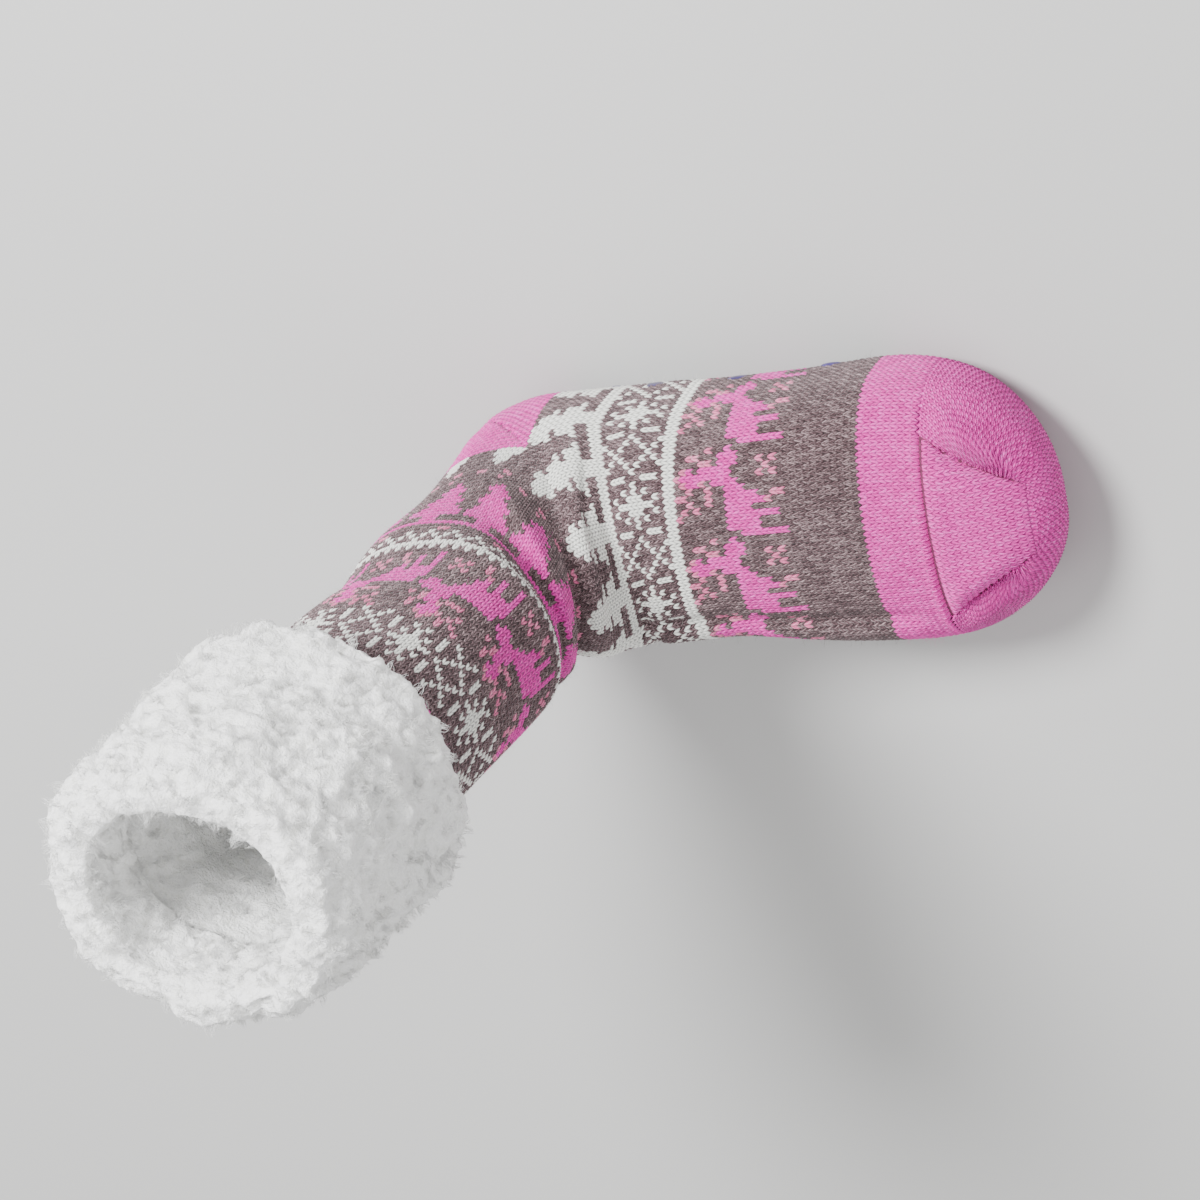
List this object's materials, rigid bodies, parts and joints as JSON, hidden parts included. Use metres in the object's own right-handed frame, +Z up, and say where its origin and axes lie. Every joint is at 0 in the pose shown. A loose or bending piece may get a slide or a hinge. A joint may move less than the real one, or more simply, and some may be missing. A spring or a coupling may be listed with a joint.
{
  "type": "slipper sock",
  "caption": "Knitted slipper sock with a heel and toe pouch, a tall slack shaft, a turned-out fleece cuff and a dotted grip sole.",
  "frame": {"origin": "on the floor, at the flat underside of the middle grip dot under the heel", "axes": "+X to the toe, +Y to the foot's left, +Z up the shaft"},
  "size_m": [0.2777, 0.1222, 0.3121],
  "materials": {
    "knit": "heathered stockinette in plum brown, pink and cream",
    "fleece": "white curly fleece",
    "grip": "glossy violet gel dots"
  },
  "bodies": {
    "root": {"knitted_sock": "knit", "fleece_cuff": "fleece", "grip_01": "grip", "grip_02": "grip", "grip_03": "grip", "grip_04": "grip", "grip_05": "grip", "grip_06": "grip", "grip_07": "grip", "grip_08": "grip", "grip_09": "grip", "grip_10": "grip", "grip_11": "grip", "grip_12": "grip", "grip_13": "grip", "grip_14": "grip", "grip_15": "grip", "grip_16": "grip", "grip_17": "grip", "grip_18": "grip", "grip_19": "grip", "grip_20": "grip", "grip_21": "grip", "grip_22": "grip", "grip_23": "grip", "grip_24": "grip", "grip_25": "grip", "grip_26": "grip", "grip_27": "grip", "grip_28": "grip", "grip_29": "grip", "grip_30": "grip", "grip_31": "grip", "grip_32": "grip", "grip_33": "grip", "grip_34": "grip", "grip_35": "grip", "grip_36": "grip", "grip_37": "grip", "grip_38": "grip", "grip_39": "grip", "grip_40": "grip", "grip_41": "grip", "grip_42": "grip", "grip_43": "grip", "grip_44": "grip", "grip_45": "grip"}
  },
  "joints": []
}
